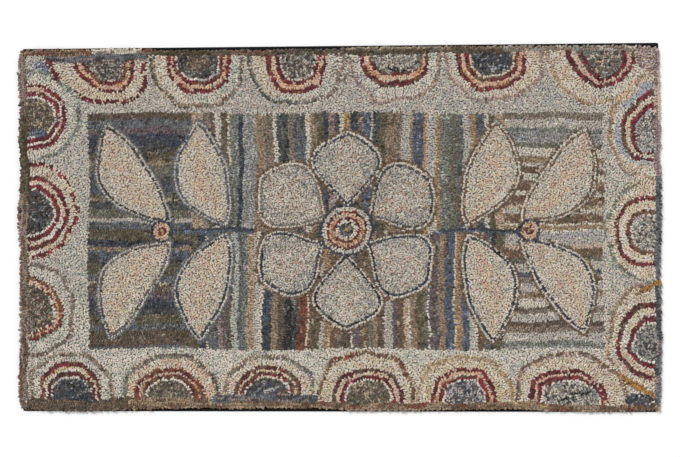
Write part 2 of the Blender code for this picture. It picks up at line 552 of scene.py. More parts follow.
BINDING = {
    "top": [
        Strand(0, 3, -575, -440, "rust edge"),
        Strand(3, 3, -522, -440, "slate edge"),
        Strand(0, 2, -440, -352, "pale edge"),
        Strand(2, 3, -440, -340, "slate edge"),
        Strand(0, 2, -352, -330, "rust edge"),
        Strand(0, 2, -330, -195, "olive edge"),
        Strand(0, 2, -195, -120, "rust edge"),
        Strand(0, 2, -120, 10, "olive edge"),
        Strand(0, 1, 10, 290, "tan edge"),
        Strand(1, 2, 10, 290, "olive edge"),
        Strand(0, 2, 290, 530, "taupe edge"),
        Strand(0, 2, 530, 575, "mauve edge"),
    ],
    "bottom": [
        Strand(0, 5, -575, -372, "umber edge"),
        Strand(0, 5, -372, -228, "tan brown edge"),
        Strand(0, 2, -228, -45, "tan brown edge"),
        Strand(2, 1, -228, -45, "slate pink edge"),
        Strand(3, 3, -228, -38, "slate edge"),
        Strand(0, 3, -45, 311, "tan brown edge"),
        Strand(0, 1, 311, 372, "tan brown edge"),
        Strand(1, 1, 311, 372, "gold edge"),
        Strand(2, 1, 311, 372, "tan brown edge"),
        Strand(0, 3, 372, 575, "grey brown edge"),
    ],
    "left": [
        Strand(0, 3, 200, 330, "brown edge"),
        Strand(0, 4, 60, 200, "olive edge"),
        Strand(0, 4, -330, 60, "brown edge"),
    ],
    "right": [
        Strand(0, 2, 92, 330, "mauve edge"),
        Strand(0, 2, -330, 92, "slate edge"),
    ],
}


def hook_strand(side, row, strand):
    """Hook one row of a strand. The rim row leans out, and the rows inside it wander."""
    along = np.arange(strand.start, strand.end, SIDE_STEP)
    line = edge_line(side, along, RIM_INSET + row * ROW)
    lean = RIM_LEAN if row == 0 else 0.0
    hook_row(line, strand.yarn, "binding", straying=row > 0, lean=lean, size=BINDING_SIZE, ragged=0.0)


def hook_binding():
    """Hook the rim row of every side first, and then the rows inside it."""
    for row in range(BINDING_ROWS):
        for side, strands in BINDING.items():
            for strand in strands:
                if strand.first_row <= row < strand.first_row + strand.rows:
                    hook_strand(side, row, strand)


hook_binding()
fill_gaps(RIM_DEPTH)
print("binding loops", len(pile.loops))

# %% [markdown]
# ## Scallops
#
# Eighteen scallops stand on the binding: six along each long side and three up each end. A
# scallop is drawn by three arches, one inside the other: its outline, the red row, and the
# heart. An arch has a middle and a half width along the side, a reach towards the middle of
# the rug, a lean along the side, and a shape: 2 is an ellipse, less is more pointed, and more
# is squarer. Where two scallops meet, the one that is hooked first keeps its form.

# %% The scallops of the border
Scallop = namedtuple("Scallop", "side base outer red heart outline wide trim core")
ROUND = 2.25
WAVER = 0.022
FEW_WAVES, MANY_WAVES = 5, 9
ARCH_POINTS = 60
Arch = namedtuple("Arch", "middle half reach lean shape", defaults=[ROUND])
OUTLINE_SIZE = 1.15
TRIM_SIZE = 1.12
BAND_CHANGE = 0.8
CORE_HALF, CORE_REACH = 0.55, 0.60

SCALLOPS = [
    Scallop("left", -551, Arch(197, 82, 91, 0, 2.0), Arch(194, 58, 65, 0), Arch(194, 33, 43, 0),
            ["sage", "sage"], ("wide mint", "wide mint"),
            "red 2, wide cream, red, dark red, white row", "olive core"),
    Scallop("right", 560, Arch(178, 98, 84, -6, 2.0), Arch(184, 78, 73, -14, 2.0), Arch(170, 34, 32, -6),
            ["peach tan", "sand"], "wide cream",
            "wide blue 3, dark red 2, wide cream 2, dark red, red, wide blue", "stone core"),
    Scallop("top", 298, Arch(-429, 90, 79, 26), Arch(-421, 58, 57, 22, 1.9), Arch(-415, 33, 39, 8),
            ["broken red", "broken red"], "wide cream",
            "red 2, peach row 2, rust, red brown", "tweed core"),
    Scallop("top", 297, Arch(-253, 83, 87, 4), Arch(-250, 56, 61, 0), Arch(-252, 36, 35, 0),
            [("brown edge", "olive"), ("brown edge", "taupe")], ("wide cream", "wide mint"),
            "red 2, peach row 2, red brown 2, wide grey", ("charcoal core", "brown core")),
    Scallop("top", 297, Arch(-78, 89, 83, 0, 1.9), Arch(-78, 55, 63, 0, 2.0), Arch(-76, 30, 37, 0, 2.0),
            [("taupe", "bottle"), ("taupe", "sage")], ("wide cream", "wide mint"),
            "red 2, peach row 2, red 2, wide grey", "tweed core"),
    Scallop("top", 300, Arch(99, 84, 80, 0), Arch(98, 60, 52, 0), Arch(102, 44, 25, 0),
            ["pink tan", "pink tan"], "wide grey",
            "dark red, red, peach row 2, red brown", "stone core"),
    Scallop("top", 310, Arch(275, 89, 86, 0), Arch(269, 63, 67, 0), Arch(270, 38, 40, 0),
            ["pink tan", "pink tan"], ("wide grey", "wide cream"),
            "red, red brown, peach row 2, red brown 2, yellow row", "navy core"),
    Scallop("top", 308, Arch(458, 90, 88, 0), Arch(463, 61, 61, 0, 1.75), Arch(468, 35, 43, 0, 1.8),
            ["peach tan", "sand"], ("wide cream", "wide grey"),
            "dark red 2, pink row 2, dark red 2", "green core"),
    Scallop("bottom", -304, Arch(-476, 78, 84, 0), Arch(-478, 55, 66, 0), Arch(-475, 37, 36, 0),
            ["tan", "taupe"], "wide grey",
            "red brown 2, yellow row, wide cream, broken umber 2, wide grey", "navy core"),
    Scallop("bottom", -305, Arch(-300, 86, 80, 0), Arch(-302, 63, 54, 0), Arch(-302, 38, 32, 0),
            [("umber", "moss"), ("taupe", "sage")], "wide peach",
            "rust, red brown, peach row, rust, broken umber, white row", "olive core"),
    Scallop("bottom", -304, Arch(-127, 85, 78, 0), Arch(-128, 62, 57, 0), Arch(-131, 40, 35, 0),
            [("moss", "tan"), ("sage", "taupe")], "wide cream",
            "broken umber, red brown, yellow row, broken umber, dark red, white row", "slate core"),
    Scallop("bottom", -306, Arch(47, 88, 88, 0), Arch(50, 65, 56, 0), Arch(50, 40, 34, 0),
            ["rust edge", "rust edge"], "wide pink",
            "broken umber 2, pink row 2, red 2, white row", "olive core"),
    Scallop("bottom", -307, Arch(222, 87, 80, 0), Arch(221, 57, 59, 0), Arch(222, 35, 36, 0),
            ["gold", "sand"], "wide yellow",
            "red 2, peach row 2, dark red, red, white row", "pale core"),
    Scallop("bottom", -306, Arch(410, 102, 84, -6), Arch(404, 71, 53, -8), Arch(408, 50, 31, -6),
            ["cocoa", "mauve"], "wide pink",
            "red 2, pink row, red, dark red, white row", "stone core"),
    Scallop("left", -551, Arch(31, 85, 84, 0), Arch(26, 65, 67, 0), Arch(27, 39, 40, 0),
            ["broken red", "broken red"], "wide cream",
            "red brown, red, wide cream 2, red, dark red, white row", "charcoal core"),
    Scallop("left", -550, Arch(-147, 85, 79, 0), Arch(-144, 58, 60, -14, 1.65),
            Arch(-144, 42, 42, -10, 1.65), ["taupe", "taupe"], ("wide mint", "wide grey"),
            "red brown, rust, peach row 2, rust, white row", "olive core"),
    Scallop("right", 560, Arch(-6, 92, 88, 0), Arch(-8, 61, 69, 0, 3.0), Arch(-10, 28, 40, 0, 3.0),
            ["green row", "green row"], "wide pink",
            "red brown, dark red, wide cream, wide pink, wide cream 2, red brown, cocoa, wide grey",
            "stone core"),
    Scallop("right", 560, Arch(-196, 101, 86, 0), Arch(-200, 70, 68, 0), Arch(-203, 33, 36, 0),
            ["peach tan", "tan"], "wide cream",
            "red brown, broken umber, wide pink, wide cream 2, dark red 2, wide grey", "grey core"),
]

# %% [markdown]
# An arch is drawn in u, along its side of the rug, and v, in from the scallop's base. Every
# arch wavers a little, and the rows between two arches are blends of them.

# %% Arches
def blend(first, last, share):
    """The arch that lies a share of the way from one arch to another."""
    return Arch(*(a + (b - a) * share for a, b in zip(first, last)))


def arch_line(scallop, arch):
    """The points of an arch, with short straight legs down to the binding."""
    angle = np.linspace(0, math.pi, ARCH_POINTS)
    cosine, sine = np.cos(angle), np.sin(angle)
    phase = scallop.outer.middle
    waves = np.sin(FEW_WAVES * angle + phase) + np.sin(MANY_WAVES * angle + 2 * phase)
    swell = 1 + WAVER * waves
    u = swell * arch.half * np.sign(cosine) * np.abs(cosine) ** (2 / arch.shape)
    v = swell * arch.reach * sine ** (2 / arch.shape)
    u = arch.middle + u + arch.lean * sine ** 2
    u = np.concatenate([[u[0]], u, [u[-1]]])
    leg = ROW if scallop.side == "bottom" else 2 * ROW
    v = np.concatenate([[-leg], v, [-leg]])
    return from_side(scallop.side, scallop.base, u, v)


def in_arch(scallop, arch, x, y):
    """Whether points lie inside an arch of a scallop."""
    u, v = to_side(scallop.side, scallop.base, x, y)
    height = np.clip(v / arch.reach, 0, 1)
    across = np.abs(u - arch.middle - arch.lean * height ** arch.shape) / arch.half
    return across ** arch.shape + height ** arch.shape < 1

# %% [markdown]
# The outline and the trim, from the red row to the heart, are hooked in rows. The wide pale
# band and the core are filled in wherever there is room.

# %% Hook the scallops
def hook_scallop(scallop):
    """Hook the rows of a scallop: its outline, and the trim from its red row to its heart."""
    part = "scallops_" + scallop.side
    outer = scallop.outer
    trim = rows_of(scallop.trim)
    for row, yarn in enumerate(scallop.outline):
        depth = (row + 0.5) * ROW
        arch = outer._replace(half=outer.half - depth, reach=outer.reach - depth)
        hook_row(arch_line(scallop, arch), yarn, part, size=OUTLINE_SIZE)
    for row, yarn in enumerate(trim):
        arch = blend(scallop.red, scallop.heart, (row + 0.5) / len(trim))
        hook_row(arch_line(scallop, arch), yarn, part, size=TRIM_SIZE)


def fill_scallop(scallop):
    """Fill a scallop's wide band, with loops that point at its middle, and its core."""
    outer, red, heart = scallop.outer, scallop.red, scallop.heart
    middle = from_side(scallop.side, scallop.base, np.array([outer.middle]), np.array([0.0]))[0]
    reach = max(outer.half, outer.reach) + abs(outer.lean) + ROW

    def in_band(x, y):
        return in_arch(scallop, outer, x, y) & ~in_arch(scallop, red, x, y)

    def band_dyes(x, y):
        along = to_side(scallop.side, scallop.base, x, y)[0]
        share = 0.5 + BAND_CHANGE * (along - outer.middle) / outer.half
        return change_dyes(scallop.wide, share, x, y)

    def in_core(x, y):
        return in_arch(scallop, heart, x, y)

    def core_dyes(x, y):
        inner = heart._replace(half=CORE_HALF * heart.half, reach=CORE_REACH * heart.reach)
        return change_dyes(scallop.core, in_arch(scallop, inner, x, y), x, y)

    def radial(x, y):
        return np.arctan2(y - middle[1], x - middle[0]) - SLANT

    part = "scallops_" + scallop.side
    fill_area(middle - reach, middle + reach, in_band, band_dyes, radial, part)
    fill_area(middle - reach, middle + reach, in_core, core_dyes, any_turn, part)


for scallop in SCALLOPS:
    hook_scallop(scallop)
    fill_scallop(scallop)
print("with the scallops", len(pile.loops))

# %% [markdown]
# ## The middle
#
# The middle holds a plain design in the old manner: a large six-petalled flower with a leafy
# branch on either side, on a ground of odd stripes. Each branch has a ringed berry where its
# leaves meet. Petals and leaves are one kind of blade: a stem end, a tip, a half width, a
# belly, which is the share of its length where it is widest, and a bend. A blade has an
# outline and a filled body, and two rows outside it echo its form.

# %% Flower and branches
FLOWER_X, FLOWER_Y = 12.0, -6.0
PETALS = 6
PETAL_ROOT = 48.0
PETAL_TIP = 170.0
PETAL_HALF = 57.0
PETAL_BELLY = 0.60
PETAL_TURN = 0.02
PETAL_STRETCH = (0.97, 1.03)
PETAL_BEND = 0.012
PETAL_OUTLINES = ["charcoal", "navy", "taupe", "navy", "ink", "navy"]
HEART_ROWS = rows_of(
    "navy, leaf cream 2, red brown, peach row 2, red, white row 2, charcoal core 2, gold"
)
BERRY_ROWS = rows_of("navy, peach row 2, red, gold")
BERRIES = [(-318.0, -5.0), (338.0, -5.0)]
LEAF_HALF = 42
LEAF_BELLY = 0.50
GREY_ECHOES = ("stone", "slate")
WARM_ECHOES = ("oatmeal", "cocoa")

Blade = namedtuple("Blade", "root tip half belly bend echoes outline body vein")


def leaf(root, tip, bend, echoes, outline):
    """A leaf of a branch: a blade of the usual size and wools."""
    return Blade(root, tip, LEAF_HALF, LEAF_BELLY, bend, echoes, outline, "leaf cream", "leaf blush")


BRANCH_LEAVES = [
    leaf((-204, 6), (-254, 182), 0.10, GREY_ECHOES, "denim"),
    leaf((-204, -18), (-250, -196), -0.10, GREY_ECHOES, "navy"),
    leaf((-306, 16), (-414, 176), 0.12, GREY_ECHOES, "charcoal"),
    leaf((-306, -28), (-410, -190), -0.12, GREY_ECHOES, "plum"),
    leaf((228, 8), (278, 184), -0.10, WARM_ECHOES, "cocoa"),
    leaf((228, -18), (274, -196), 0.10, WARM_ECHOES, "navy"),
    leaf((328, 14), (438, 170), -0.12, WARM_ECHOES, "cocoa"),
    leaf((328, -24), (434, -182), 0.12, WARM_ECHOES, "navy"),
]
STEMS = [
    [(-150, -6), (-200, -2), (-250, -8), (-304, -4)],
    [(174, -6), (222, -2), (272, -8), (324, -4)],
]

# %% [markdown]
# The middle is cut into three pieces, left, middle and right, and its edges waver. A blade's
# points are found along its spine, which bows to one side by the blade's bend.

# %% Field and blades
FIELD_DRIFT_X = [Wave(2.0, math.inf, 43, 0.0)]
FIELD_DRIFT_Y = [Wave(2.0, 57, math.inf, 0.8)]
LEFT_PART_END, RIGHT_PART_START = -150.0, 160.0
BLADE_POINTS = 40
BLADE_ENDS = (0.001, 0.999)
BLADE_FULLNESS = 0.8
TIP_PULL, MOST_PULL = 1.25, 0.48
VEIN_START, VEIN_FALL = 1.6, 2.4
RING_POINTS = 60
RING_INSET = 0.4
STEM_POINTS = 40


def in_field(x, y):
    """Whether points lie in the middle field, whose edges are not quite straight."""
    drift_x, drift_y = sway(FIELD_DRIFT_X, x, y), sway(FIELD_DRIFT_Y, x, y)
    in_length = (x > FIELD_LEFT + drift_x) & (x < FIELD_RIGHT + drift_x)
    return in_length & (y > FIELD_BOTTOM + drift_y) & (y < FIELD_TOP + drift_y)


def field_part(x):
    """The piece that a loop of the middle belongs to."""
    if x < LEFT_PART_END:
        return "field_left"
    return "field_right" if x > RIGHT_PART_START else "field_middle"


def blade_part(blade):
    """The piece that a whole blade belongs to."""
    return field_part((blade.root[0] + blade.tip[0]) / 2)


def blade_axes(blade):
    """A blade's stem end, its length, and the directions along it and across it."""
    root, tip = np.array(blade.root, float), np.array(blade.tip, float)
    length = np.hypot(*(tip - root))
    ahead = (tip - root) / length
    return root, length, ahead, np.array([-ahead[1], ahead[0]])


def blade_half(blade, share):
    """A blade's half width at shares of its length, as a share of its greatest half width."""
    power = math.log(0.5) / math.log(blade.belly)
    return np.sin(math.pi * share ** power) ** BLADE_FULLNESS


def blade_line(blade, depth):
    """The closed outline of a blade, drawn so far inside its edge."""
    root, length, ahead, aside = blade_axes(blade)
    share = np.linspace(0, 1, BLADE_POINTS)
    pulled_in = min(depth * TIP_PULL, MOST_PULL * length)
    along = pulled_in + share * (length - 2 * pulled_in)
    half = max(blade.half - depth, 0.0) * blade_half(blade, share)
    bow = blade.bend * length * np.sin(math.pi * along / length)
    spine = root + along[:, None] * ahead + bow[:, None] * aside
    near = spine + half[:, None] * aside
    far = spine - half[:, None] * aside
    return np.concatenate([near, far[::-1]])


def off_spine(blade, x, y):
    """How far from a blade's spine points lie, as a share of its half width there."""
    root, length, ahead, aside = blade_axes(blade)
    along = (x - root[0]) * ahead[0] + (y - root[1]) * ahead[1]
    across = (x - root[0]) * aside[0] + (y - root[1]) * aside[1]
    share = np.clip(along / length, *BLADE_ENDS)
    bow = blade.bend * length * np.sin(math.pi * share)
    off = np.abs(across - bow) / (blade.half * blade_half(blade, share))
    return np.where(share == along / length, off, math.inf)


# %% [markdown]
# The rings and stems are hooked first, then every blade, and last the rows that echo them, so
# an echo gives way to a neighbour's outline.

# %% Hook the flower and leaves
def hook_blade(blade):
    """Hook a petal or a leaf: its outline in a row, and its body filled in, warmer at heart."""
    part = blade_part(blade)
    line = blade_line(blade, 0.0)
    hook_row(line, blade.outline, part, in_field, ragged=CAREFUL)

    def in_blade(x, y):
        return (off_spine(blade, x, y) < 1) & in_field(x, y)

    def body_dyes(x, y):
        share = VEIN_START - VEIN_FALL * off_spine(blade, x, y)
        return change_dyes((blade.body, blade.vein), share, x, y)

    fill_area(line.min(axis=0), line.max(axis=0), in_blade, body_dyes, any_turn, part)


def hook_echo(blade, number):
    """Hook one of the rows that follow a blade outside its outline."""
    part = blade_part(blade)
    line = blade_line(blade, -ROW * (number + 1))
    hook_row(line, blade.echoes[number], part, in_field, ragged=CAREFUL)


def flower_petals():
    """The petals of the flower, each a little different in turn and size."""
    middle = np.array([FLOWER_X, FLOWER_Y])
    petals = []
    for i, outline_yarn in enumerate(PETAL_OUTLINES):
        angle = 2 * math.pi * (i + 0.5) / PETALS + random.normal(0, PETAL_TURN)
        tip_reach = PETAL_TIP * random.uniform(*PETAL_STRETCH)
        ahead = np.array([math.cos(angle), math.sin(angle)])
        root = middle + PETAL_ROOT * ahead
        tip = middle + tip_reach * ahead
        bend = random.normal(0, PETAL_BEND)
        petals.append(Blade(tuple(root), tuple(tip), PETAL_HALF, PETAL_BELLY, bend, WARM_ECHOES,
                            outline_yarn, "pale flower", "flower blush"))
    return petals


def hook_rings(middle_x, middle_y, yarns, part):
    """Hook rings round a point, one for each yarn, from the outside in."""
    angle = np.linspace(0, 2 * math.pi, RING_POINTS)
    for row, yarn in enumerate(yarns):
        radius = (len(yarns) - row - RING_INSET) * ROW
        ring = np.column_stack([middle_x + radius * np.cos(angle), middle_y + radius * np.sin(angle)])
        hook_row(ring, yarn, part)


def hook_stem(stem):
    """Hook a stem through its points, in two rows."""
    stem_x, stem_y = np.array(stem, float).T
    line_x = np.linspace(stem_x[0], stem_x[-1], STEM_POINTS)
    for offset, yarn in ((0.0, "navy"), (ROW, "denim")):
        line = np.column_stack([line_x, np.interp(line_x, stem_x, stem_y) - offset])
        hook_row(line, yarn, field_part(stem_x[1]), in_field, ragged=CAREFUL)


hook_rings(FLOWER_X, FLOWER_Y, HEART_ROWS, "field_middle")
for x, y in BERRIES:
    hook_rings(x, y, BERRY_ROWS, field_part(x))
for stem in STEMS:
    hook_stem(stem)
blades = flower_petals() + BRANCH_LEAVES
for blade in blades:
    hook_blade(blade)
for number in range(len(GREY_ECHOES)):
    for blade in blades:
        hook_echo(blade, number)
print("with the flower and leaves", len(pile.loops))

# %% [markdown]
# ## Stripes
#
# Behind the flower the ground is hooked hit or miss, in whatever wool was at hand: upright
# stripes along the top and the bottom of the middle, and level stripes at its two ends. The
# left end is the darkest, and the right end is pale. Each stripe is a yarn and a width in
# units, and a unit is a little wider than a row.

# %% Hook the stripes
STRIPE_UNIT = 4.5
STRIPE_STEP = 3.0
OVERRUN = 4

UPPER_STRIPES = rows_of(
    "sand 4, taupe 3, cocoa 2, oatmeal 2, olive 3, cream, sage 3, navy 2, pewter 5, tan 4, taupe 3, "
    "oatmeal 2, bottle 4, taupe 3, slate 4, oatmeal 2, tan 2, olive 3, navy 2, mauve 2, charcoal 2, "
    "oatmeal 2, gold 2, navy 3, cocoa 2, denim 3, oatmeal, bottle 3, olive 2, tan 4, taupe 2, "
    "stone 4, orange tan, denim 4, apricot, stone 4, orange tan 2, sage 3, moss 4, slate 2, "
    "stone 2, orange tan 3, slate 3, oatmeal 2, olive 3"
)
LOWER_STRIPES = rows_of(
    "olive 3, navy 2, cream, slate 4, mauve 2, plum 2, olive 2, mint 2, slate 2, sage 2, sand 2, "
    "stone 2, oatmeal 2, navy 3, tan 3, umber 2, ink 4, bottle 2, rust 3, cream, cocoa 2, olive 2, "
    "stone 2, orange tan 3, cocoa 2, taupe 2, umber 3, oatmeal, plum 3, cocoa 3, moss 2, tan 2, "
    "umber 2, stone 4, plum 2, cocoa 2, blush 2, ivory, tan 2, olive 3, moss 2, ivory, plum 3, "
    "tan 3, denim 3, cream, orange tan 3, denim 2, mint 2, oatmeal 2, cocoa 3, slate 2, navy 2"
)
LEFT_STRIPES = rows_of(
    "umber 3, slate 3, plum 3, navy 4, charcoal 3, olive 3, tan 2, moss 4, charcoal 4, denim 3, "
    "olive 2, sand, charcoal 3, moss 4, stone, slate 3, olive 4, navy 3, tan 2, denim 2, "
    "charcoal 3, olive 4, slate 3, sand, umber 3, plum 3, navy 3, charcoal 3, olive 3, slate 3, "
    "umber 3"
)
RIGHT_STRIPES = rows_of(
    "taupe 3, stone 3, sage 2, pewter 4, moss 2, oatmeal 3, tan 3, stone 2, cocoa 2, oatmeal 3, "
    "tan 2, cocoa 2, oatmeal 2, cocoa 3, sand 2, stone 2, cocoa 3, oatmeal, orange tan 2, ivory, "
    "lilac 2, stone 3, blush 2, cocoa 3, moss 2, stone 3, denim 2, taupe 3, stone 3, tan 3, "
    "oatmeal 3, taupe 3, stone 3, umber 2"
)
LEFT_END = -262.0
RIGHT_END = 288.0
MEETING_LINE = -8.0


def stripe_rows(yarns, start, stop):
    """The place and yarn of each row of a band of stripes, from start towards stop."""
    way = 1 if stop > start else -1
    rows = []
    for depth in np.arange(ROW / 2, abs(stop - start) + ROW / 2, ROW):
        rows.append((start + way * depth, yarns[int(depth / STRIPE_UNIT) % len(yarns)]))
    return rows


def hook_upright(yarns, low, high):
    """Hook upright stripes between the two ends of the middle."""
    along = np.arange(low, high + 1, STRIPE_STEP)
    for x, yarn in stripe_rows(yarns, LEFT_END, RIGHT_END):
        line = np.column_stack([np.full(len(along), x), along])
        hook_row(line, yarn, field_part(x), in_field)


def hook_level(yarns, low, high):
    """Hook level stripes at one end of the middle."""
    along = np.arange(low, high + 1, STRIPE_STEP)
    for y, yarn in stripe_rows(yarns, FIELD_TOP, FIELD_BOTTOM):
        line = np.column_stack([along, np.full(len(along), y)])
        hook_row(line, yarn, field_part((low + high) / 2), in_field)


hook_upright(UPPER_STRIPES, MEETING_LINE + ROW / 2, FIELD_TOP + OVERRUN)
hook_upright(LOWER_STRIPES, FIELD_BOTTOM - OVERRUN, MEETING_LINE - ROW / 2)
hook_level(LEFT_STRIPES, FIELD_LEFT - OVERRUN, LEFT_END)
hook_level(RIGHT_STRIPES, RIGHT_END, FIELD_RIGHT + OVERRUN)
print("with the stripes", len(pile.loops))

# %% [markdown]
# ## Ground between border and middle
#
# The pale ground has hardly any rows to see. One row follows each scallop, and the rest is
# filled in wherever there is room. Its tint drifts from warm to cool, and it is darker along
# the top and lighter along the bottom. A last pass fills the small gaps that are left
# anywhere, with the wool of the nearest loop.

# %% Fill the ground
GROUND_INSET = 9.0
TINT_DRIFT = [Wave(1.0, 73, math.inf, 1.3), Wave(1.0, -140, 58, 0.0)]
DRIFT_NOISE = 0.7
DRIFT_LIMIT = 1.1
TOP_CHANGE, BOTTOM_CHANGE = 190.0, -130.0
CHANGE_LENGTH = 60.0
TOP_SHARE = 0.6


def ground_dyes(x, y):
    """The dye at each place of the pale ground, in soft patches of cooler and warmer wool."""
    noise = random.normal(0, DRIFT_NOISE, len(x))
    drift = sway(TINT_DRIFT, x, y) + noise
    dyes = patch_dyes("ground", x, y)
    dyes = np.where(drift > DRIFT_LIMIT, patch_dyes("cool ground", x, y), dyes)
    dyes = np.where(drift < -DRIFT_LIMIT, patch_dyes("warm ground", x, y), dyes)
    top_share = np.clip((y - TOP_CHANGE) / CHANGE_LENGTH, 0, TOP_SHARE)
    high_up = random.uniform(0, 1, len(x)) < top_share
    dyes = np.where(high_up, patch_dyes("warm ground", x, y), dyes)
    bottom_share = np.clip((BOTTOM_CHANGE - y) / CHANGE_LENGTH, 0, 1)
    low_down = random.uniform(0, 1, len(x)) < bottom_share
    return np.where(low_down, patch_dyes("light ground", x, y), dyes)


def in_ground(x, y):
    """Whether points lie in the plain ground, off the border and the middle."""
    free = ~in_field(x, y) & (edge_gap(x, y) > GROUND_INSET)
    for scallop in SCALLOPS:
        free &= ~in_arch(scallop, scallop.outer, x, y)
    return free


for scallop in SCALLOPS:
    outer = scallop.outer
    echo = outer._replace(half=outer.half + 0.5 * ROW, reach=outer.reach + 0.5 * ROW)
    hook_row(arch_line(scallop, echo), "ground", "ground_loops", in_ground)
fill_area(*WHOLE, in_ground, ground_dyes, any_turn, "ground_loops")
fill_gaps(math.inf)
print("all loops", len(pile.loops))

# %% [markdown]
# ## Odd ends of wool
#
# Here and there the hooker used up a short end of another wool. Each odd end is a small oval
# where a share of the loops takes that wool instead.

# %% Use up the odd ends
OddEnd = namedtuple("OddEnd", "x y half_long half_short turn share yarn")
ODD_ENDS = [
    OddEnd(-530, 284, 16, 8, -30, 0.7, "cornflower"),
    OddEnd(-517, 291, 6, 8, 0, 0.8, "dark red"),
    OddEnd(-503, 268, 6, 10, 20, 0.8, "dark red"),
    OddEnd(-536, 167, 17, 7, 0, 0.85, "denim"),
    OddEnd(281, 283, 18, 9, 0, 0.25, "sky"),
    OddEnd(103, 279, 24, 4, -12, 0.75, "ink"),
    OddEnd(425, -295, 22, 4, 10, 0.5, "ink"),
    OddEnd(404, -304, 18, 4, 0, 0.5, "ink"),
    OddEnd(534, -306, 28, 11, 0, 0.9, "navy core"),
    OddEnd(-122, -288, 16, 4, 20, 0.7, "sky"),
    OddEnd(547, -107, 29, 5, 29, 1.0, "ochre"),
    OddEnd(527, -281, 43, 6, -32, 1.0, "ochre"),
    OddEnd(188, 215, 16, 24, 0, 0.35, "aqua"),
    OddEnd(368, 240, 18, 24, 0, 0.3, "aqua"),
    OddEnd(548, 150, 14, 26, 0, 0.3, "sky"),
    OddEnd(548, 300, 22, 24, 0, 0.8, "mauve edge"),
    OddEnd(6, 283, 22, 27, 0, 0.22, "taupe"),
]


def use_odd_end(loop, end):
    """The loop as it is, or in an odd end's wool if it falls inside that end's oval."""
    turn = math.radians(end.turn)
    x, y = loop.x - end.x, loop.y - end.y
    along = (x * math.cos(turn) + y * math.sin(turn)) / end.half_long
    across = (y * math.cos(turn) - x * math.sin(turn)) / end.half_short
    if along ** 2 + across ** 2 > 1 or random.random() > end.share:
        return loop
    return loop._replace(dye=pick_dyes(end.yarn, 1)[0])


for end in ODD_ENDS:
    pile.loops = [use_odd_end(loop, end) for loop in pile.loops]

# %% [markdown]
# ## The shape of a loop
#
# A loop is a small dome, longer than it is wide, pinched together at its foot. It has a point
# for a foot, a ring at the shoulder, and a short ridge on top. It is set at a slant to its row,
# as a strip of wool twists on the hook, and it swells into whatever room its neighbours
# leave. Its colour is a little uneven. Painted shade darkens it towards the foot, where no light
# gets in, and a painted highlight lightens the ridge. Both the unevenness and the painted shade
# show more in dark wool than in pale.

# %% Build the loop meshes
SIDES = 6
LONG = 3.05
SHORT = 1.95
SIZE_LIFT = 1.2
RIDGE = 0.40
SHOULDER = 0.68
EDGE_DROP = 1.4
RIM_DROP = 1.1
RAY_START = 0.1
NEIGHBOURS = 5
USUAL_ROOM = 3.8
LEAST_ROOM, MOST_ROOM = 0.86, 1.22
STRAYING = 0.5
ROW_SPREAD = 0.50
RIM_SPREAD = 1.10
SIZE_SPREAD = 0.08
HEIGHT_SPREAD = 0.45
CORNER_SPREAD = 0.045
TILT_SPREAD = 0.35
RIM_TILT = 2
TINT_SPREAD = 0.03
# Painted shade on each loop: its colour is darkened at the foot and a little at the shoulder, and a
# painted highlight lightens the ridge.
FOOT_PAINTED_SHADE, SHOULDER_PAINTED_SHADE, TOP_PAINTED_HIGHLIGHT = 0.48, 0.90, 1.09
DARKEST, PALEST = 0.05, 0.42
UNEVEN_DARK, UNEVEN_PALE = 0.30, 0.055
# How strongly the painted shade and highlight apply, in dark wool and in pale.
PAINTED_SHADE_DARK, PAINTED_SHADE_PALE = 1.30, 0.60


def loop_template():
    """The corners of a unit loop, its triangles, and the painted shade or highlight of each corner."""
    angle = 2 * math.pi * np.arange(SIDES) / SIDES
    shoulder = np.column_stack([np.cos(angle), np.sin(angle), np.full(SIDES, SHOULDER)])
    corners = np.concatenate([shoulder, [[RIDGE, 0, 1], [-RIDGE, 0, 1], [0, 0, 0]]])
    front, back, foot = SIDES, SIDES + 1, SIDES + 2
    faces = [(foot, (i + 1) % SIDES, i) for i in range(SIDES)]
    faces += [(front, 5, 0), (front, 0, 1), (front, 1, 2), (front, 2, back)]
    faces += [(back, 2, 3), (back, 3, 4), (back, 4, 5), (back, 5, front)]
    shade = np.concatenate([np.full(SIDES, SHOULDER_PAINTED_SHADE), [TOP_PAINTED_HIGHLIGHT, TOP_PAINTED_HIGHLIGHT, FOOT_PAINTED_SHADE]])
    return corners, np.array(faces), shade


def room_around(loops):
    """How much room each loop has, from the distance to its five nearest neighbours."""
    tree = tree_of(loops)
    room = np.empty(len(loops))
    for number, loop in enumerate(loops):
        near = tree.find_n((loop.x, loop.y, 0.0), NEIGHBOURS + 1)
        room[number] = sum(found[2] for found in near) / NEIGHBOURS
    return np.clip(room / USUAL_ROOM, LEAST_ROOM, MOST_ROOM)


def surface_heights(loops):
    """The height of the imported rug's top under each loop, in millimetres."""
    tree = BVHTree.FromObject(rug_node, bpy.context.evaluated_depsgraph_get())
    heights = np.full(len(loops), rug_high.z / MM - EDGE_DROP)
    for number, loop in enumerate(loops):
        hit = tree.ray_cast(Vector((loop.x * MM, loop.y * MM, RAY_START)), Vector((0, 0, -1)))
        if hit[0] is not None:
            heights[number] = hit[0].z / MM
    return heights


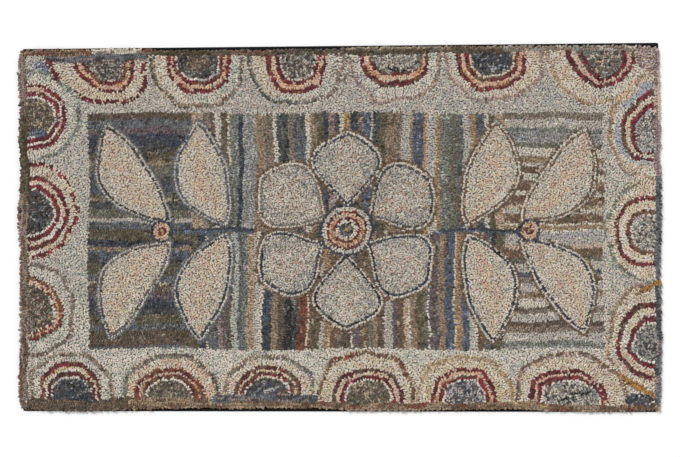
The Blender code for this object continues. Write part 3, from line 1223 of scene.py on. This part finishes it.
def shape_loops(loops, room, tops):
    """All corners, triangles and colours of a set of loops, in metres."""
    corners, faces, shade = loop_template()
    count = len(loops)
    x, y, row_turn, dye, _, lean, size = (np.array(values) for values in zip(*loops))
    x = x + random.normal(0, STRAYING, count)
    y = y + random.normal(0, STRAYING, count)
    turn = row_turn + SLANT + random.normal(0, 1, count) * np.where(lean > 0, RIM_SPREAD, ROW_SPREAD)
    long_half = LONG * size * room * random.normal(1, SIZE_SPREAD, count)
    short_half = SHORT * size * room * random.normal(1, SIZE_SPREAD, count)
    top = tops + SIZE_LIFT * (size - 1) + random.normal(0, HEIGHT_SPREAD, count)

    form = np.repeat(corners[None], count, axis=0)
    form += random.normal(0, CORNER_SPREAD, form.shape)
    u = form[..., 0] * long_half[:, None]
    v = form[..., 1] * short_half[:, None]
    height = np.clip(form[..., 2], 0, None)
    cosine, sine = np.cos(turn)[:, None], np.sin(turn)[:, None]
    away = away_from_middle(x, y)
    tilt = random.normal(0, TILT_SPREAD, (count, 2)) * (1 + RIM_TILT * lean[:, None])
    tilt = tilt + away * lean[:, None]
    world = np.empty(form.shape)
    world[..., 0] = x[:, None] + u * cosine - v * sine + tilt[:, :1] * height
    world[..., 1] = y[:, None] + u * sine + v * cosine + tilt[:, 1:] * height
    world[..., 2] = LOOP_FOOT + height * (top - LOOP_FOOT)[:, None]

    faces = faces[None] + (len(corners) * np.arange(count))[:, None, None]
    # The corner colours carry the painted shade at the foot and the painted highlight on the ridge.
    colours = corner_colours(dye, shade)
    return world.reshape(-1, 3) * MM, faces.reshape(-1, 3), colours.reshape(-1, 3)


def corner_colours(dye, shade):
    """The colour of every corner of a set of loops: uneven, with painted shade towards the foot and a
    painted highlight on top.
    """
    paleness = DYE_COLOURS[dye].mean(axis=1)
    unevenness = np.interp(paleness, (DARKEST, PALEST), (UNEVEN_DARK, UNEVEN_PALE))
    painted_shade_strength = np.interp(paleness, (DARKEST, PALEST), (PAINTED_SHADE_DARK, PAINTED_SHADE_PALE))
    strength = 1 + (unevenness * random.normal(0, 1, len(dye)))[:, None]
    tint = 1 + random.normal(0, TINT_SPREAD, (len(dye), 3))
    colour = DYE_COLOURS[dye] * strength * tint
    # Painted shade towards the foot and a painted highlight on the ridge, stronger in dark wool.
    painted_shades = 1 + (shade - 1) * painted_shade_strength[:, None]
    return colour[:, None, :] * painted_shades[:, :, None]


def away_from_middle(x, y):
    """The outward direction across the nearest edge, for loops that lean over it."""
    ways = np.array([(0, 1), (0, -1), (-1, 0), (1, 0)], float)
    return ways[side_gaps(x, y).argmin(axis=0)]


def flat_map(mesh, points, corner_numbers):
    """Lay a piece's own map flat over it, seen from above, filling the square."""
    low = points[:, :2].min(axis=0)
    size = points[:, :2].max(axis=0) - low
    places = (points[:, :2] - low) / size
    layer = mesh.uv_layers.new(name="OFBake")
    layer.data.foreach_set("uv", places[corner_numbers].astype(np.float32).ravel())


def add_object(name, data):
    """A new object in the scene, for a mesh, a lamp or a camera."""
    added = bpy.data.objects.new(name, data)
    bpy.context.scene.collection.objects.link(added)
    return added


def mesh_piece(name, points, faces, colours, material):
    """A smooth mesh object with a colour at every corner, painted shade included, riding with the rug.
    """
    mesh = bpy.data.meshes.new(name)
    mesh.from_pydata(points, [], faces)
    # The yarn colour holds each loop's dye with its painted shade and highlight.
    attribute = mesh.color_attributes.new("yarn", "FLOAT_COLOR", "POINT")
    rgba = np.column_stack([np.clip(colours, 0, 1), np.ones(len(colours))])
    attribute.data.foreach_set("color", rgba.astype(np.float32).ravel())
    flat_map(mesh, points, faces.ravel())
    mesh.materials.append(material)
    mesh.shade_smooth()
    piece = add_object(name, mesh)
    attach(piece, "root")
    return piece


# %% [markdown]
# ## Wool
#
# Two small node groups serve the cloths here. One gives the fuzz of wool fibre, as a shade
# and a bump. The other gives threads crossing at right angles, for the ground cloth and the
# backing. Shaders stay in the materials.

# %% Node groups
FIBRES, TUFTS, FUZZ_DEPTH = 1100.0, 330.0, 0.0004
THREADS, THREAD_DEPTH = 600.0, 0.0003


def new_group(name, inputs, result):
    """An empty node group: numbers go in, and a named number and a normal come out."""
    group = bpy.data.node_groups.new(name, "ShaderNodeTree")
    for label, value in inputs.items():
        socket = group.interface.new_socket(name=label, in_out="INPUT", socket_type="NodeSocketFloat")
        socket.default_value = value
    for label, kind in ((result, "NodeSocketFloat"), ("Normal", "NodeSocketVector")):
        group.interface.new_socket(name=label, in_out="OUTPUT", socket_type=kind)
    return group, group.nodes.new("NodeGroupInput"), group.nodes.new("NodeGroupOutput")


def set_socket(tree, socket, value):
    """Link an input to another node's output, or set it to a value."""
    if isinstance(value, bpy.types.NodeSocket):
        tree.links.new(value, socket)
    else:
        socket.default_value = value


def set_inputs(tree, node, **values):
    """Set or link the named inputs of a node."""
    for label, value in values.items():
        set_socket(tree, node.inputs[label.replace("_", " ")], value)


def add_node(tree, kind, **values):
    """Add a shader node, and set or link its named inputs."""
    node = tree.nodes.new("ShaderNode" + kind)
    set_inputs(tree, node, **values)
    return node


def math_node(tree, operation, first, second):
    """The result of a maths node on two links or numbers."""
    node = add_node(tree, "Math")
    node.operation = operation
    set_socket(tree, node.inputs[0], first)
    set_socket(tree, node.inputs[1], second)
    return node.outputs[0]


def fuzz_group():
    """Wool fibre: a shade around one and a bumped normal, from two sizes of noise."""
    numbers = {"Fibres per metre": FIBRES, "Tufts per metre": TUFTS, "Depth": FUZZ_DEPTH}
    group, start, end = new_group("Wool fuzz", numbers, "Shade")
    place = add_node(group, "TexCoord").outputs["Object"]
    fine = add_node(group, "TexNoise", Vector=place, Scale=start.outputs["Fibres per metre"],
                    Detail=3.0, Roughness=0.7)
    coarse = add_node(group, "TexNoise", Vector=place, Scale=start.outputs["Tufts per metre"],
                      Detail=1.0)
    both = math_node(group, "ADD", fine.outputs["Fac"], coarse.outputs["Fac"])
    spread = add_node(group, "MapRange", Value=both, From_Min=0.7, From_Max=1.3,
                      To_Min=0.74, To_Max=1.22)
    bump = add_node(group, "Bump", Distance=start.outputs["Depth"], Height=fine.outputs["Fac"])
    set_inputs(group, end, Shade=spread.outputs["Result"], Normal=bump.outputs["Normal"])
    return group


def weave_group():
    """Plain weave: a height that is high on the threads, and a normal bumped by it."""
    numbers = {"Threads per metre": THREADS, "Depth": THREAD_DEPTH}
    group, start, end = new_group("Plain weave", numbers, "Thread")
    place = add_node(group, "TexCoord").outputs["Object"]
    split = add_node(group, "SeparateXYZ", Vector=place)
    turns = math_node(group, "MULTIPLY", start.outputs["Threads per metre"], math.pi)
    waves = []
    for axis in ("X", "Y"):
        along = math_node(group, "MULTIPLY", split.outputs[axis], turns)
        waves.append(math_node(group, "SINE", along, 0.0))
    across = math_node(group, "MULTIPLY", *waves)
    height = math_node(group, "ADD", math_node(group, "MULTIPLY", across, 0.5), 0.5)
    bump = add_node(group, "Bump", Distance=start.outputs["Depth"], Height=height)
    set_inputs(group, end, Thread=height, Normal=bump.outputs["Normal"])
    return group


FUZZ = fuzz_group()
WEAVE = weave_group()
print("node groups", FUZZ.name, WEAVE.name)

# %% [markdown]
# The loops take their colour, painted shade and highlight included, from the yarn that each of
# their corners carries. The ground cloth and the backing are woven in one plain colour each,
# with painted shade between the threads.

# %% Materials
SHINE = 0.12
SHEEN, SHEEN_ROUGHNESS = 0.12, 0.6
# Painted shade between the threads of a weave, and a little painted light on them.
SHADE_BETWEEN_THREADS, LIGHT_ON_THREADS = 0.55, 1.1


def new_material(name, roughness):
    """A material with its node tree and its shader, and hardly any shine."""
    material = bpy.data.materials.new(name)
    material.use_nodes = True
    tree = material.node_tree
    shader = tree.nodes["Principled BSDF"]
    set_inputs(tree, shader, Roughness=roughness, Specular_IOR_Level=SHINE)
    return material, tree, shader


def use_group(tree, group, **values):
    """Add a node group to a material, with some of its inputs set."""
    node = add_node(tree, "Group")
    node.node_tree = group
    set_inputs(tree, node, **values)
    return node


def shaded(tree, colour, shade):
    """A colour multiplied by a shade."""
    mix = add_node(tree, "Mix")
    mix.data_type = "RGBA"
    mix.blend_type = "MULTIPLY"
    set_inputs(tree, mix, Factor=1.0, A=colour, B=shade)
    return mix.outputs["Result"]


def wool_material():
    """Dyed wool, in the colour that each loop's corners carry, painted shade and highlight included."""
    material, tree, shader = new_material("wool_loops", roughness=0.96)
    yarn = add_node(tree, "VertexColor")
    yarn.layer_name = "yarn"
    fuzz = use_group(tree, FUZZ, Fibres_per_metre=FIBRES, Tufts_per_metre=TUFTS, Depth=FUZZ_DEPTH)
    colour = shaded(tree, yarn.outputs["Color"], fuzz.outputs["Shade"])
    set_inputs(tree, shader, Base_Color=colour, Normal=fuzz.outputs["Normal"],
               Sheen_Weight=SHEEN, Sheen_Roughness=SHEEN_ROUGHNESS)
    return material


def woven_material(name, colour, threads, roughness):
    """A plain woven cloth of one colour, with painted shade between its threads and a little painted
    light on them.
    """
    material, tree, shader = new_material(name, roughness)
    weave = use_group(tree, WEAVE, Threads_per_metre=threads, Depth=THREAD_DEPTH)
    # Painted shade between the threads and painted light on them.
    painted_thread_shade = add_node(tree, "MapRange", Value=weave.outputs["Thread"],
                    To_Min=SHADE_BETWEEN_THREADS, To_Max=LIGHT_ON_THREADS)
    colour = shaded(tree, (*colour, 1.0), painted_thread_shade.outputs["Result"])
    set_inputs(tree, shader, Base_Color=colour, Normal=weave.outputs["Normal"])
    return material


WOOL = wool_material()
BURLAP = woven_material("burlap", (0.27, 0.23, 0.185), threads=520.0, roughness=0.95)
BLACK_COTTON = woven_material("black_cotton_cloth", (0.012, 0.012, 0.013), threads=900.0,
                              roughness=0.9)

# %% [markdown]
# ## Make the pieces
#
# The pile is cut into pieces by the part of the pattern that each loop belongs to, so that no
# mesh grows too large.

# %% Make the loop pieces
room = room_around(pile.loops)
tops = surface_heights(pile.loops)
rim_drop = np.array([RIM_DROP if loop.lean else 0.0 for loop in pile.loops])
for part in sorted({loop.part for loop in pile.loops}):
    chosen = [i for i, loop in enumerate(pile.loops) if loop.part == part]
    loops = [pile.loops[i] for i in chosen]
    points, faces, colours = shape_loops(loops, room[chosen], (tops - rim_drop)[chosen])
    piece = mesh_piece(part, points, faces, colours, WOOL)
    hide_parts("rug")
    print(part, "loops", len(loops), "triangles", len(faces))

# %% [markdown]
# ## Ground cloth
#
# Under the loops lies the coarse cloth that they are pulled through, turned in at the edge.
# It is a thin slab with the rug's outline, drawn in a little so that the rim row covers it.

# %% Ground cloth under the loops
HEM_INSET = 2.2
HEM_ROUND = 1.2
HEM_STEPS = 4
HEM_SHARP = math.radians(50)
LONG_STEPS, SHORT_STEPS = 200, 110


def ring_at(inset, height):
    """The rug's outline drawn in by an inset, at one height, in metres."""
    x = np.linspace(outline.top[0][0] + inset, outline.top[0][-1] - inset, LONG_STEPS)
    y = np.linspace(outline.left[0][0] + inset, outline.left[0][-1] - inset, SHORT_STEPS)
    round_the_rug = (("top", x), ("right", y[::-1]), ("bottom", x[::-1]), ("left", y))
    ring = np.concatenate([edge_line(side, along, inset) for side, along in round_the_rug])
    return np.column_stack([ring, np.full(len(ring), height)]) * MM


def ground_cloth():
    """The cloth as rings from its lower face round the turned edge to its upper face."""
    low = rug_low.z / MM
    middle, half = (low + GROUND_TOP) / 2, (GROUND_TOP - low) / 2
    rings = []
    for angle in np.linspace(-math.pi / 2, math.pi / 2, HEM_STEPS + 1):
        inset = HEM_INSET + HEM_ROUND * (1 - math.cos(angle))
        rings.append(ring_at(inset, middle + half * math.sin(angle)))
    count = len(rings[0])
    points = np.concatenate(rings)
    faces = []
    for level in range(len(rings) - 1):
        for i in range(count):
            j = (i + 1) % count
            a, b = level * count + i, level * count + j
            faces.append((a, b, b + count, a + count))
    faces.append(tuple(range(count))[::-1])
    last = (len(rings) - 1) * count
    faces.append(tuple(range(last, last + count)))
    mesh = bpy.data.meshes.new("ground_cloth")
    mesh.from_pydata(points, [], faces)
    mesh.materials.append(BURLAP)
    mesh.shade_smooth()
    mesh.set_sharp_from_angle(angle=HEM_SHARP)
    cloth = add_object("ground_cloth", mesh)
    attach(cloth, "root")
    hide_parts("rug")
    return cloth


cloth = ground_cloth()
backing_node.data.materials.clear()
backing_node.data.materials.append(BLACK_COTTON)
print("ground cloth", [round(side, 4) for side in cloth.dimensions])

# %% [markdown]
# ## Floor, light and camera
#
# The photograph looks straight down on the rug, on plain white. A soft sun high on the upper
# left gives the loops their shape, and an even white surround fills the shadows.

# %% Floor, light and camera
FLOOR_HALF = 20.0
FLOOR_GREY = 0.95
SUN_STRENGTH = 1.82
SUN_SPREAD = math.radians(20)
SUN_WAY = (0.45, -0.55, -0.95)
SURROUND_STRENGTH = 0.64
PHOTO_WIDTH = 1.2056
CAMERA_SHIFT = -0.0020
LENS = 85.0
SENSOR = 36.0


def make_floor():
    """A plain pale floor under the rug."""
    material, tree, shader = new_material("floor_plain", roughness=0.9)
    set_inputs(tree, shader, Base_Color=(FLOOR_GREY, FLOOR_GREY, FLOOR_GREY, 1.0))
    mesh = bpy.data.meshes.new("floor")
    far = FLOOR_HALF
    corners = [(-far, -far, 0), (far, -far, 0), (far, far, 0), (-far, far, 0)]
    mesh.from_pydata(corners, [], [(0, 1, 2, 3)])
    mesh.materials.append(material)
    floor = add_object("floor", mesh)
    floor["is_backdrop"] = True


def make_light():
    """One soft sun from the upper left, and a plain white surround."""
    sun = bpy.data.lights.new("soft_sun", "SUN")
    sun.energy = SUN_STRENGTH
    sun.angle = SUN_SPREAD
    lamp = add_object("soft_sun", sun)
    lamp.rotation_euler = Vector(SUN_WAY).to_track_quat("-Z", "Y").to_euler()
    world = bpy.data.worlds.new("surround")
    world.use_nodes = True
    surround = world.node_tree.nodes["Background"]
    white = (1.0, 1.0, 1.0, 1.0)
    set_inputs(world.node_tree, surround, Color=white, Strength=SURROUND_STRENGTH)
    bpy.context.scene.world = world


def make_camera():
    """A camera straight above the rug, as far off as the photograph's frame asks."""
    data = bpy.data.cameras.new("camera")
    data.lens = LENS
    data.sensor_width = SENSOR
    camera = add_object("camera", data)
    height = rug_high.z + PHOTO_WIDTH * LENS / SENSOR
    camera.location = (0.0, CAMERA_SHIFT, height)
    bpy.context.scene.camera = camera


make_floor()
make_light()
make_camera()
bpy.context.scene.view_settings.view_transform = "Standard"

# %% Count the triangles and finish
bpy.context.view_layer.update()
meshes = [piece.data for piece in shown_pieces() if piece.type == "MESH"]
triangles = sum(len(face.vertices) - 2 for mesh in meshes for face in mesh.polygons)
print("triangles in all", triangles)
